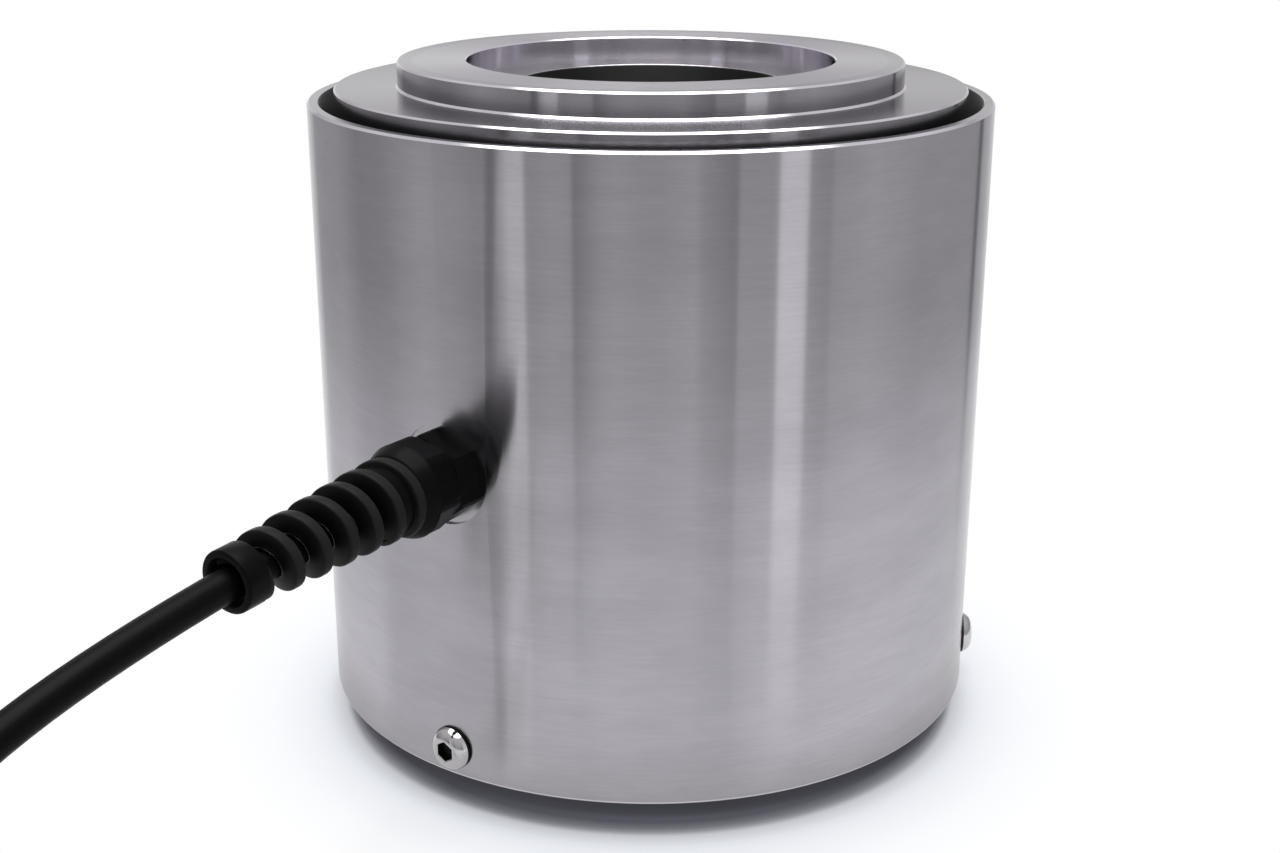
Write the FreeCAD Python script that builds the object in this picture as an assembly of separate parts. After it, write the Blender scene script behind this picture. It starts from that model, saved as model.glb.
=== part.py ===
import FreeCAD, Part
import math
import os

V = FreeCAD.Vector

# Shell and sensing body, in millimetres. The base stands on z = 0 and the bore runs up the Z axis.
overall_height = 145.5
shell_outer_radius = 75.0
shell_wall = 2.5
shell_top_drop = 2.55
shell_base_gap = 3.0
shell_edge_chamfer = 0.5
bore_radius = 29.1
counterbore_radius = 40.4
counterbore_depth = 5.2
edge_chamfer = 0.4
inner_edge_chamfer = 0.3
load_ring_radius = 55.5
load_ring_height = 5.45
load_ring_root = 0.45
foot_inset = 9.0
lower_flange_thickness = 18.0
lower_flange_clearance = 0.1
upper_flange_gap = 3.3
upper_land_thickness = 14.0
upper_land_clearance = 0.3
upper_land_drop = 18.0
chamber_width = 15.5
column_fillet = 4.0

# Shell seals, one in each flange
seal_width = 2.8
seal_groove_depth = 2.3
seal_groove_side_gap = 0.3
seal_corner = 0.9
lower_seal_drop = 4.5

# Radial button-head screws that hold the shell to the lower flange
screw_count = 3
screw_height_on_shell = 6.4
screw_shank_radius = 2.5
screw_length = 12.0
screw_head_radius = 4.75
screw_head_height = 2.75
screw_head_rim = 0.5
screw_head_flat_radius = 2.4
screw_crown_radius = 4.1
screw_crown_height = 1.8
screw_socket_flats = 3.5
screw_socket_depth = 1.7
screw_socket_rim = 0.5
screw_rim_margin = 0.1
screw_hole_clearance = 0.25
tapped_hole_spare = 2.0

# Cable gland: a moulded body, its seals and locknut, and a cap with a spiral bend relief
gland_height = 70.6
spot_face_margin = 0.95
gland_turn = 7.2
gland_flats = 17.0
gland_corner_radius = 9.55
gland_base_thickness = 6.1
gland_thread_radius = 6.0
gland_thread_length = 8.0
gland_hole_clearance = 0.15
gland_bore_clearance = 0.5
gland_rim_chamfer = 0.7
gland_thread_lead = 0.6
gland_neck_radius = 7.5
gland_neck_length = 6.1
gland_claw_length = 2.4
gland_claw_tip_radius = 6.3
gland_claw_slots = 6
gland_claw_slot_width = 1.0
gland_claw_slot_length = 5.0
insert_radius = 5.2
insert_start = 2.4
face_seal_thickness = 1.2
face_seal_width = 1.8
locknut_flats = 17.0
locknut_thickness = 5.0
locknut_wall_clearance = 0.05
locknut_chamfer = 0.5
locknut_corner_cut = 0.8

cap_start_gap = 0.2
cap_flats = 17.4
cap_corner_radius = 9.65
cap_turn_from_body = 12.0
cap_flats_length = 6.2
cap_shoulder_length = 3.3
cap_shoulder_step = 0.6
cap_shoulder_radius = 8.3
cap_core_radius = 7.2
cap_core_length = 6.8
cap_thread_clearance = 0.05
cap_claw_clearance = 0.1
cap_claw_gap = 0.2
cap_throat_step = 0.7
cap_throat_radius = 5.4
cap_rear_chamfer = 0.45

# Spiral strip: its turns open out towards the cable, and the sleeve hangs a little
spiral_start_from_shoulder = 2.44
spiral_first_spacing = 5.7
spiral_spacing_growth = 0.14
spiral_phase = 208.7
spiral_start_turn = -0.5
spiral_end_turn = 6.0
spiral_points_per_turn = 12
spiral_first_radius = 8.3
spiral_taper = 0.0554
spiral_dive_turn = 4.9
spiral_dive_depth = 0.6
strip_height = 2.3
strip_base_width = 4.4
strip_crest_width = 1.5
strip_crest_rise = 0.5
sleeve_droop_angle = 3.4
sleeve_droop_from_shoulder = 4.5
sleeve_droop_length = 10.0
collar_from_first_turn = 36.46
collar_length = 5.0
collar_radius = 6.06
collar_round = 1.0
collar_rear_chamfer = 0.3
collar_bore_clearance = 0.65
collar_mouth_flare = 0.8

# Strain gauges on the column, four stations of one upright and one level gauge
gauge_stations = 4
gauge_first_angle = 45.0
gauge_length = 10.0
gauge_width = 5.0
gauge_thickness = 0.15
gauge_pair_spacing = 12.0
terminal_width = 6.0
terminal_height = 3.0
terminal_thickness = 0.4
terminal_drop = 8.0
harness_radius = 0.6
harness_drop = 12.0

# Terminal board below the gland, on spacers on the lower flange
board_column_gap = 1.5
board_shell_gap = 2.0
board_half_angle = 17.0
board_thickness = 1.6
board_spacer_height = 4.0
board_spacer_radius = 2.2
board_screw_radius = 1.25
board_screw_head_radius = 2.3
board_screw_head_height = 1.5
board_screw_depth = 5.0
board_screw_angle = 13.0
resistor_length = 3.2
resistor_width = 1.6
resistor_height = 0.6
resistor_angles = (-6.0, 0.0, 6.0)
resistor_from_board_edge = 2.3

# Cable: the jacket, the coil that puts the spare length away, and the stripped end
cable_radius = 3.2
jacket_past_thread = 0.26
cable_reach = 238.0
coil_mean_radius = 38.0
coil_turns_wide = 3
coil_turns_high = 4
core_radius = 0.65
core_circle = 1.6
core_colours = ("red", "white", "shield", "green", "black")
core_angles = (162.0, 234.0, 90.0, 306.0, 18.0)
core_lane_gap = 2.4
core_lane_step = 0.64
core_spacing_on_board = 4.0
core_first_drop = 9.5
core_second_drop = 20.0
core_end_from_board_edge = 4.0
sleeve_wall = 0.55
sleeve_length = 14.0
sleeve_overhang = 4.0
lead_length = 34.0
lead_spread = 5.0
lead_tip_radius = 0.4
lead_tip_length = 6.0

# Derived from the values above
shell_inner_radius = shell_outer_radius - shell_wall
foot_radius = shell_outer_radius - foot_inset
column_radius = shell_inner_radius - chamber_width
upper_flange_radius = shell_inner_radius - upper_flange_gap
flange_top = overall_height - load_ring_height
counterbore_floor = overall_height - counterbore_depth
shell_top = flange_top - shell_top_drop
lower_flange_radius = shell_inner_radius - lower_flange_clearance
lower_flange_top = shell_base_gap + lower_flange_thickness
upper_land_radius = shell_inner_radius - upper_land_clearance
upper_land_top = flange_top - upper_land_drop
upper_land_base = upper_land_top - upper_land_thickness
upper_seal_height = upper_land_top - upper_land_thickness / 2
lower_seal_height = lower_flange_top - lower_seal_drop
gauge_height = (lower_flange_top + upper_land_base) / 2
screw_height = shell_base_gap + screw_height_on_shell
screw_rim_radius = screw_socket_flats / math.sqrt(3) + screw_rim_margin
spot_face_radius = gland_corner_radius + spot_face_margin
spot_face_seat = math.sqrt(shell_outer_radius ** 2 - spot_face_radius ** 2)
gland_bore_radius = cable_radius + gland_bore_clearance
gland_neck_end = gland_base_thickness + gland_neck_length
gland_claw_end = gland_neck_end + gland_claw_length
cap_start = gland_base_thickness + cap_start_gap
cap_flats_end = cap_start + cap_flats_length
cap_shoulder_end = cap_flats_end + cap_shoulder_length
cap_core_end = cap_shoulder_end + cap_core_length
spiral_first_turn = cap_shoulder_end + spiral_start_from_shoulder
sleeve_droop_start = cap_shoulder_end + sleeve_droop_from_shoulder - sleeve_droop_length / 2
collar_start = spiral_first_turn + collar_from_first_turn
collar_bore_radius = cable_radius + collar_bore_clearance
collar_mouth_radius = collar_bore_radius + collar_mouth_flare
board_inner_radius = column_radius + board_column_gap
board_outer_radius = shell_inner_radius - board_shell_gap
board_screw_circle = (board_inner_radius + board_outer_radius) / 2
board_base = lower_flange_top + board_spacer_height
board_top = board_base + board_thickness
resistor_circle = board_inner_radius + resistor_from_board_edge
core_lane = column_radius + core_lane_gap
core_end_circle = board_outer_radius - core_end_from_board_edge
coil_half_width = coil_turns_wide * cable_radius
coil_height = coil_turns_high * 2 * cable_radius
coil_outer_turn = coil_mean_radius + coil_half_width - cable_radius
coil_centre = V(cable_reach, -coil_outer_turn, 0)
jacket_end = spot_face_seat - gland_thread_length - jacket_past_thread

# The cable's route to the coil, and from the coil to its stripped end
cable_route = [
    V(jacket_end, 0, gland_height),
    V(108.5, 0, gland_height),
    V(168, 0, 64.2),
    V(199, 0, 54.8),
    V(222, -0.3, 41.5),
    V(241, -0.8, 28.2),
    V(256, -4.2, 22.6),
]
tail_route = [
    V(195.2, -56, cable_radius),
    V(191.4, -30, cable_radius),
    V(184.8, -6, 3.8),
    V(181.8, 15, 3.8),
]


def ring_solid(outline):
    """A turned solid from its half section, given as (radius, height) points."""
    points = [V(r, 0, z) for r, z in outline]
    face = Part.Face(Part.makePolygon(points + [points[0]]))
    return face.revolve(V(0, 0, 0), V(0, 0, 1), 360)


def cylinder(radius, start, end):
    return Part.makeCylinder(radius, end - start, V(0, 0, start))


def tube(outer, inner, start, end):
    return cylinder(outer, start, end).cut(cylinder(inner, start - 1, end + 1))


def hex_prism(flats, start, end, turn=0.0):
    """A hexagonal bar along Z with a corner at the given angle from X."""
    corner = flats / math.sqrt(3)
    angles = [math.radians(turn + 60 * k) for k in range(7)]
    outline = Part.makePolygon([V(corner * math.cos(a), corner * math.sin(a), start) for a in angles])
    return Part.Face(outline).extrude(V(0, 0, end - start))


def around(shape, angle):
    turned = shape.copy()
    turned.rotate(V(0, 0, 0), V(0, 0, 1), angle)
    return turned


def outward(shape, start_radius, height):
    """Lays a shape that was built up the Z axis along +X, its base at the given radius and height."""
    laid = shape.copy()
    laid.rotate(V(0, 0, 0), V(0, 1, 0), 90)
    laid.translate(V(start_radius, 0, height))
    return laid


def route_edges(points):
    """Straight runs joined by tangent arcs, with each arc's radius."""
    edges = []
    radii = []
    start = points[0]
    for before, corner, after in zip(points, points[1:], points[2:]):
        back = before - corner
        ahead = after - corner
        turn = math.pi - back.getAngle(ahead)
        cut = 0.45 * min(back.Length, ahead.Length)
        radius = cut / math.tan(turn / 2)
        back.normalize()
        ahead.normalize()
        arc_start = corner + back * cut
        arc_end = corner + ahead * cut
        middle = (back + ahead).normalize()
        arc_middle = corner + middle * (radius / math.cos(turn / 2) - radius)
        edges.append(Part.LineSegment(start, arc_start).toShape())
        edges.append(Part.Arc(arc_start, arc_middle, arc_end).toShape())
        radii.append(radius)
        start = arc_end
    edges.append(Part.LineSegment(start, points[-1]).toShape())
    return edges, radii


def swept_tube(points, radius, name):
    edges, radii = route_edges(points)
    path = Part.Wire(edges)
    section = Part.Wire(Part.makeCircle(radius, points[0], points[1] - points[0]))
    solid = path.makePipeShell([section], True, False)
    expected = math.pi * radius ** 2 * path.Length
    radii_text = " ".join(f"{r:.0f}" for r in radii)
    print(f"{name}: length {path.Length:.1f}, volume ratio {solid.Volume / expected:.4f}, radii {radii_text}")
    return solid


def sensing_body():
    outline = [
        (bore_radius, inner_edge_chamfer),
        (bore_radius + inner_edge_chamfer, 0),
        (foot_radius - edge_chamfer, 0),
        (foot_radius, edge_chamfer),
        (foot_radius, shell_base_gap),
        (lower_flange_radius - edge_chamfer, shell_base_gap),
        (lower_flange_radius, shell_base_gap + edge_chamfer),
        (lower_flange_radius, lower_flange_top - edge_chamfer),
        (lower_flange_radius - edge_chamfer, lower_flange_top),
        (column_radius, lower_flange_top),
        (column_radius, upper_land_base),
        (upper_land_radius - edge_chamfer, upper_land_base),
        (upper_land_radius, upper_land_base + edge_chamfer),
        (upper_land_radius, upper_land_top - edge_chamfer),
        (upper_land_radius - edge_chamfer, upper_land_top),
        (upper_flange_radius, upper_land_top),
        (upper_flange_radius, flange_top - edge_chamfer),
        (upper_flange_radius - edge_chamfer, flange_top),
        (load_ring_radius + load_ring_root, flange_top),
        (load_ring_radius, flange_top + load_ring_root),
        (load_ring_radius, overall_height - edge_chamfer),
        (load_ring_radius - edge_chamfer, overall_height),
        (counterbore_radius + inner_edge_chamfer, overall_height),
        (counterbore_radius, overall_height - inner_edge_chamfer),
        (counterbore_radius, counterbore_floor),
        (bore_radius + inner_edge_chamfer, counterbore_floor),
        (bore_radius, counterbore_floor - inner_edge_chamfer),
    ]
    body = ring_solid(outline)
    body = fillet_circles(body, column_radius, (lower_flange_top, upper_land_base), column_fillet)
    for height, radius in ((lower_seal_height, lower_flange_radius), (upper_seal_height, upper_land_radius)):
        floor = shell_inner_radius - seal_groove_depth
        half = seal_width / 2 + seal_groove_side_gap
        body = body.cut(tube(radius + 1, floor, height - half, height + half))
    hole_depth = screw_length + tapped_hole_spare
    for k in range(screw_count):
        hole = cylinder(screw_shank_radius, 0, hole_depth)
        hole = outward(hole, shell_outer_radius - hole_depth, screw_height)
        body = body.cut(around(hole, k * 360 / screw_count))
    for side in (-1, 1):
        hole = cylinder(board_screw_radius, lower_flange_top - board_screw_depth, lower_flange_top + 1)
        hole.translate(V(board_screw_circle, 0, 0))
        body = body.cut(around(hole, side * board_screw_angle))
    return body


def fillet_circles(body, radius, heights, size):
    """Rounds the corner circles of that radius at those heights."""
    edges = []
    for edge in body.Edges:
        circle = isinstance(edge.Curve, Part.Circle) and abs(edge.Curve.Radius - radius) < 1e-6
        if circle and any(abs(edge.Curve.Center.z - z) < 1e-6 for z in heights):
            edges.append(edge)
    return body.makeFillet(size, edges)


def outer_shell():
    c = shell_edge_chamfer
    outline = [
        (shell_inner_radius, shell_base_gap),
        (shell_outer_radius - c, shell_base_gap),
        (shell_outer_radius, shell_base_gap + c),
        (shell_outer_radius, shell_top - c),
        (shell_outer_radius - c, shell_top),
        (shell_inner_radius + c / 2, shell_top),
        (shell_inner_radius, shell_top - c / 2),
    ]
    shell = ring_solid(outline)
    through = 2 * shell_wall
    hole = cylinder(screw_shank_radius + screw_hole_clearance, 0, through)
    hole = outward(hole, shell_inner_radius - shell_wall / 2, screw_height)
    for k in range(screw_count):
        shell = shell.cut(around(hole, k * 360 / screw_count))
    entry = cylinder(gland_thread_radius + gland_hole_clearance, 0, through)
    shell = shell.cut(outward(entry, shell_inner_radius - shell_wall / 2, gland_height))
    spot_face = cylinder(spot_face_radius, 0, through)
    return shell.cut(outward(spot_face, spot_face_seat, gland_height))


def shell_seal(height):
    """A squeezed ring that fills the groove's depth, flat where it bears on the groove and the shell."""
    inner = shell_inner_radius - seal_groove_depth
    outline = [
        (inner, height - seal_width / 2 + seal_corner),
        (inner + seal_corner, height - seal_width / 2),
        (shell_inner_radius - seal_corner, height - seal_width / 2),
        (shell_inner_radius, height - seal_width / 2 + seal_corner),
        (shell_inner_radius, height + seal_width / 2 - seal_corner),
        (shell_inner_radius - seal_corner, height + seal_width / 2),
        (inner + seal_corner, height + seal_width / 2),
        (inner, height + seal_width / 2 - seal_corner),
    ]
    return ring_solid(outline)


def shell_screw():
    """A button-head screw up the Z axis, its head's underside at z = 0 and its shank below."""
    side = V(screw_head_radius, 0, screw_head_rim)
    crown = V(screw_crown_radius, 0, screw_crown_height)
    top = V(screw_head_flat_radius, 0, screw_head_height)
    edges = [
        Part.LineSegment(V(0, 0, -screw_length), V(screw_shank_radius, 0, -screw_length)).toShape(),
        Part.LineSegment(V(screw_shank_radius, 0, -screw_length), V(screw_shank_radius, 0, 0)).toShape(),
        Part.LineSegment(V(screw_shank_radius, 0, 0), V(screw_head_radius, 0, 0)).toShape(),
        Part.LineSegment(V(screw_head_radius, 0, 0), side).toShape(),
        Part.Arc(side, crown, top).toShape(),
        Part.LineSegment(top, V(0, 0, screw_head_height)).toShape(),
        Part.LineSegment(V(0, 0, screw_head_height), V(0, 0, -screw_length)).toShape(),
    ]
    screw = Part.Face(Part.Wire(edges)).revolve(V(0, 0, 0), V(0, 0, 1), 360)
    socket_floor = screw_head_height - screw_socket_depth
    screw = screw.cut(hex_prism(screw_socket_flats, socket_floor, screw_head_height + 1))
    rim = Part.makeCone(screw_rim_radius - screw_socket_rim, screw_rim_radius, screw_socket_rim)
    rim.translate(V(0, 0, screw_head_height - screw_socket_rim))
    return screw.cut(rim)


def shell_screws():
    laid = outward(shell_screw(), shell_outer_radius, screw_height)
    return Part.makeCompound([around(laid, k * 360 / screw_count) for k in range(screw_count)])


def at_gland(shape):
    """The gland's pieces are built up the Z axis from the spot face."""
    return outward(shape, spot_face_seat, gland_height)


def gland_body():
    base = hex_prism(gland_flats, 0, gland_base_thickness, gland_turn)
    round_off = ring_solid([
        (0, 0),
        (gland_corner_radius, 0),
        (gland_corner_radius, gland_base_thickness - gland_rim_chamfer),
        (gland_corner_radius - gland_rim_chamfer, gland_base_thickness),
        (0, gland_base_thickness),
    ])
    base = base.common(round_off)
    stem = ring_solid([
        (0, -gland_thread_length),
        (gland_thread_radius - gland_thread_lead, -gland_thread_length),
        (gland_thread_radius, gland_thread_lead - gland_thread_length),
        (gland_thread_radius, 1),
        (gland_neck_radius, 1),
        (gland_neck_radius, gland_neck_end),
        (gland_claw_tip_radius, gland_claw_end),
        (0, gland_claw_end),
    ])
    body = base.fuse(stem)
    body = body.cut(cylinder(gland_bore_radius, -gland_thread_length - 1, gland_claw_end + 1))
    body = body.cut(cylinder(insert_radius, insert_start, gland_claw_end + 1))
    body = body.cut(tube(gland_thread_radius + face_seal_width, gland_thread_radius, -1, face_seal_thickness))
    slot = Part.makeBox(gland_neck_radius + 1, gland_claw_slot_width, gland_claw_slot_length + 1)
    slot.translate(V(0, -gland_claw_slot_width / 2, gland_claw_end - gland_claw_slot_length))
    for k in range(gland_claw_slots):
        body = body.cut(around(slot, k * 360 / gland_claw_slots))
    return body.removeSplitter()


def gland_face_seal():
    outer = gland_thread_radius + face_seal_width
    corner = face_seal_thickness / 4
    seal = ring_solid([
        (gland_thread_radius, 0),
        (outer - corner, 0),
        (outer, corner),
        (outer, face_seal_thickness - corner),
        (outer - corner, face_seal_thickness),
        (gland_thread_radius, face_seal_thickness),
    ])
    return seal


def gland_locknut():
    """The nut's flat face bears on the curved wall at its two upright flats."""
    face_radius = math.sqrt(shell_inner_radius ** 2 - (locknut_flats / 2) ** 2) - locknut_wall_clearance
    nut = hex_prism(locknut_flats, 0, locknut_thickness)
    corner = locknut_flats / math.sqrt(3)
    nut = nut.common(ring_solid([
        (0, 0),
        (corner - locknut_corner_cut, 0),
        (corner, locknut_chamfer),
        (corner, locknut_thickness - locknut_chamfer),
        (corner - locknut_corner_cut, locknut_thickness),
        (0, locknut_thickness),
    ]))
    nut = nut.cut(cylinder(gland_thread_radius, -1, locknut_thickness + 1))
    return outward(nut, face_radius - locknut_thickness, gland_height)


def gland_insert():
    return tube(insert_radius, cable_radius, insert_start, gland_claw_end)


def sleeve_offset(height):
    """How far the bend relief's middle line has sunk at a height above the spot face."""
    slope = math.tan(math.radians(sleeve_droop_angle))
    run = min(max(height - sleeve_droop_start, 0), sleeve_droop_length)
    beyond = max(height - sleeve_droop_start - sleeve_droop_length, 0)
    return slope * (run ** 2 / (2 * sleeve_droop_length) + beyond)


def sleeve_slope(height):
    share = min(max((height - sleeve_droop_start) / sleeve_droop_length, 0), 1)
    return math.radians(sleeve_droop_angle) * share


def spiral_height(turn):
    return spiral_first_turn + spiral_first_spacing * turn + spiral_spacing_growth * turn ** 2


def spiral_crest_radius(turn):
    taper = spiral_taper * (spiral_height(turn) - spiral_first_turn)
    return spiral_first_radius - taper - spiral_dive_depth * max(turn - spiral_dive_turn, 0)


def spiral_frame(turn):
    """The middle of the sleeve and the outward direction at a place along the spiral."""
    height = spiral_height(turn)
    slope = sleeve_slope(height)
    angle = math.radians(spiral_phase + 360 * turn)
    across = V(math.cos(slope), 0, -math.sin(slope))
    out = across * math.cos(angle) + V(0, 1, 0) * math.sin(angle)
    return V(sleeve_offset(height), 0, height), out


def spiral_strip():
    """The strip's inner middle line is a helix whose pitch opens and whose radius shrinks."""
    count = round((spiral_end_turn - spiral_start_turn) * spiral_points_per_turn)
    points = []
    for k in range(count + 1):
        turn = spiral_start_turn + k / spiral_points_per_turn
        middle, out = spiral_frame(turn)
        points.append(middle + out * (spiral_crest_radius(turn) - strip_height))
    line = Part.BSplineCurve()
    line.interpolate(points)
    spine = Part.Wire(line.toShape())
    tangent = V(*line.tangent(line.FirstParameter)[0])
    out = spiral_frame(spiral_start_turn)[1]
    out = (out - tangent * out.dot(tangent)).normalize()
    side = tangent.cross(out)

    def place(along, up):
        return points[0] + side * along + out * up

    base = strip_base_width / 2
    crest = strip_crest_width / 2
    flank_top = strip_height - strip_crest_rise
    section = Part.Wire([
        Part.LineSegment(place(base, 0), place(crest, flank_top)).toShape(),
        Part.Arc(place(crest, flank_top), place(0, strip_height), place(-crest, flank_top)).toShape(),
        Part.LineSegment(place(-crest, flank_top), place(-base, 0)).toShape(),
        Part.LineSegment(place(-base, 0), place(base, 0)).toShape(),
    ])
    return spine.makePipeShell([section], True, True)


def relief_collar():
    collar = ring_solid([
        (collar_bore_radius, 0),
        (collar_radius - collar_rear_chamfer, 0),
        (collar_radius, collar_rear_chamfer),
        (collar_radius, collar_length),
        (collar_mouth_radius, collar_length),
        (collar_bore_radius, collar_length / 2),
    ])
    collar = fillet_circles(collar, collar_radius, (collar_length,), collar_round)
    collar.rotate(V(0, 0, 0), V(0, 1, 0), sleeve_droop_angle)
    collar.translate(V(sleeve_offset(collar_start), 0, collar_start))
    return collar


def gland_cap():
    cap = ring_solid([
        (0, cap_start),
        (cap_corner_radius - cap_rear_chamfer, cap_start),
        (cap_corner_radius, cap_start + cap_rear_chamfer),
        (cap_corner_radius, cap_flats_end),
        (cap_shoulder_radius, cap_shoulder_end),
        (cap_core_radius, cap_shoulder_end + cap_shoulder_step),
        (cap_core_radius, cap_core_end),
        (0, cap_core_end),
    ])
    waste = cylinder(cap_corner_radius + 1, cap_start - 1, cap_flats_end)
    flats = hex_prism(cap_flats, cap_start - 2, cap_flats_end + 1, gland_turn + cap_turn_from_body)
    cap = cap.cut(waste.cut(flats))
    throat = ring_solid([
        (0, cap_start - 1),
        (gland_neck_radius + cap_thread_clearance, cap_start - 1),
        (gland_neck_radius + cap_thread_clearance, gland_neck_end + cap_claw_gap),
        (gland_claw_tip_radius + cap_claw_clearance, gland_claw_end + cap_claw_gap),
        (cap_throat_radius, gland_claw_end + cap_claw_gap + cap_throat_step),
        (cap_throat_radius, cap_core_end + 1),
        (0, cap_core_end + 1),
    ])
    return cap.fuse([spiral_strip(), relief_collar()]).cut(throat).removeSplitter()


def column_patch(width, height, thickness, angle, middle_height):
    """A thin patch that lies on the round column."""
    base = middle_height - height / 2
    patch = tube(column_radius + thickness, column_radius, base, base + height)
    window = Part.makeBox(2 * column_radius, width, height, V(0, -width / 2, base))
    return around(patch.common(window), angle)


def gauge_shape(index):
    station = index // 2
    side = -1 if index % 2 == 0 else 1
    shift = math.degrees(gauge_pair_spacing / 2 / column_radius)
    angle = gauge_first_angle + station * 360 / gauge_stations + side * shift
    if side < 0:
        return column_patch(gauge_width, gauge_length, gauge_thickness, angle, gauge_height)
    return column_patch(gauge_length, gauge_width, gauge_thickness, angle, gauge_height)


def gauge_terminals():
    height = gauge_height - terminal_drop
    angles = [gauge_first_angle + k * 360 / gauge_stations for k in range(gauge_stations)]
    return Part.makeCompound(
        [column_patch(terminal_width, terminal_height, terminal_thickness, angle, height) for angle in angles]
    )


def bridge_harness():
    ring_radius = column_radius + harness_radius
    return Part.makeTorus(ring_radius, harness_radius, V(0, 0, gauge_height - harness_drop))


def terminal_board():
    board = tube(board_outer_radius, board_inner_radius, board_base, board_top)
    reach = 2 * board_outer_radius
    half = math.radians(board_half_angle)
    wedge = Part.Face(Part.makePolygon([
        V(0, 0, board_base - 1),
        V(reach * math.cos(half), -reach * math.sin(half), board_base - 1),
        V(reach * math.cos(half), reach * math.sin(half), board_base - 1),
        V(0, 0, board_base - 1),
    ])).extrude(V(0, 0, board_thickness + 2))
    board = board.common(wedge)
    for side in (-1, 1):
        hole = cylinder(board_screw_radius, board_base - 1, board_top + 1)
        hole.translate(V(board_screw_circle, 0, 0))
        board = board.cut(around(hole, side * board_screw_angle))
    return board


def board_pair(shape):
    """One copy at each of the board's two screw places."""
    moved = shape.copy()
    moved.translate(V(board_screw_circle, 0, 0))
    return Part.makeCompound([around(moved, side * board_screw_angle) for side in (-1, 1)])


def board_spacers():
    return board_pair(tube(board_spacer_radius, board_screw_radius, lower_flange_top, board_base))


def board_screws():
    shank = cylinder(board_screw_radius, lower_flange_top - board_screw_depth, board_top)
    head = cylinder(board_screw_head_radius, board_top, board_top + board_screw_head_height)
    return board_pair(shank.fuse(head))


def trim_resistors():
    corner = V(resistor_circle - resistor_width / 2, -resistor_length / 2, board_top)
    chip = Part.makeBox(resistor_width, resistor_length, resistor_height, corner)
    return Part.makeCompound([around(chip, angle) for angle in resistor_angles])


def inner_core(index):
    """A core leaves the jacket inside the shell, turns down in three even steps and ends on the board."""
    angle = math.radians(core_angles[index])
    side = core_circle * math.cos(angle)
    rise = core_circle * math.sin(angle)
    lane = core_lane + core_lane_step * (core_circle - rise)
    height = gland_height + rise
    board_side = core_spacing_on_board * (index - (len(core_colours) - 1) / 2)
    forward = math.cos(math.radians(30))
    step = (jacket_end - lane) / (1 + forward + 0.5)
    route = [
        V(jacket_end, side, height),
        V(jacket_end - step, side, height),
        V(lane + step / 2, side * 1.1, height - step / 2),
        V(lane, side * 1.3, height - step * (0.5 + forward)),
        V(lane + 0.5, side * 1.6, height - core_first_drop),
        V(lane + 1.6, board_side * 0.6, height - core_second_drop),
        V(core_end_circle, board_side, board_top),
    ]
    return swept_tube(route, core_radius, f"core_{core_colours[index]}")


def cable_coil():
    ring = tube(coil_mean_radius + coil_half_width, coil_mean_radius - coil_half_width, 0, coil_height)
    ring = ring.makeFillet(cable_radius * 0.9, ring.Edges)
    ring.translate(coil_centre)
    return ring


def tail_direction():
    return (tail_route[-1] - tail_route[-2]).normalize()


def end_sleeve():
    along = tail_direction()
    start = tail_route[-1] - along * (sleeve_length - sleeve_overhang)
    outer = Part.makeCylinder(cable_radius + sleeve_wall, sleeve_length, start, along)
    inner = Part.makeCylinder(cable_radius, 2 * sleeve_length, start - along, along)
    return outer.cut(inner)


def lead_route(index):
    """The leads leave the sleeve side by side and fan out down to the floor."""
    along = tail_direction()
    across = along.cross(V(0, 0, 1)).normalize()
    angle = math.radians(core_angles[index])
    start = tail_route[-1] + across * (-core_circle * math.cos(angle))
    start.z += core_circle * math.sin(angle)
    place = index - 2
    first = start + along * (sleeve_overhang + 3)
    second = tail_route[-1] + along * (lead_length * 0.55) + across * (-place * lead_spread * 0.45)
    second.z = core_radius + 0.1
    last = tail_route[-1] + along * (lead_length - abs(place) * 2) + across * (-place * lead_spread)
    last.z = core_radius
    return [start, first, second, last]


def lead_tips():
    tips = []
    for index in range(len(core_colours)):
        route = lead_route(index)
        along = (route[-1] - route[-2]).normalize()
        along.z = 0
        tips.append(Part.makeCylinder(lead_tip_radius, lead_tip_length, route[-1], along))
    return Part.makeCompound(tips)


def save(shape, name):
    if not shape.isValid() or shape.Volume <= 0:
        print("CHECK", name, "valid", shape.isValid(), "volume", shape.Volume)
    shape.exportStep(f"parts/{name}.step")
    box = shape.BoundBox
    print(f"{name}: {len(shape.Solids)} solid, {shape.Volume:.1f} mm3, z {box.ZMin:.2f} to {box.ZMax:.2f}")


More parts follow.
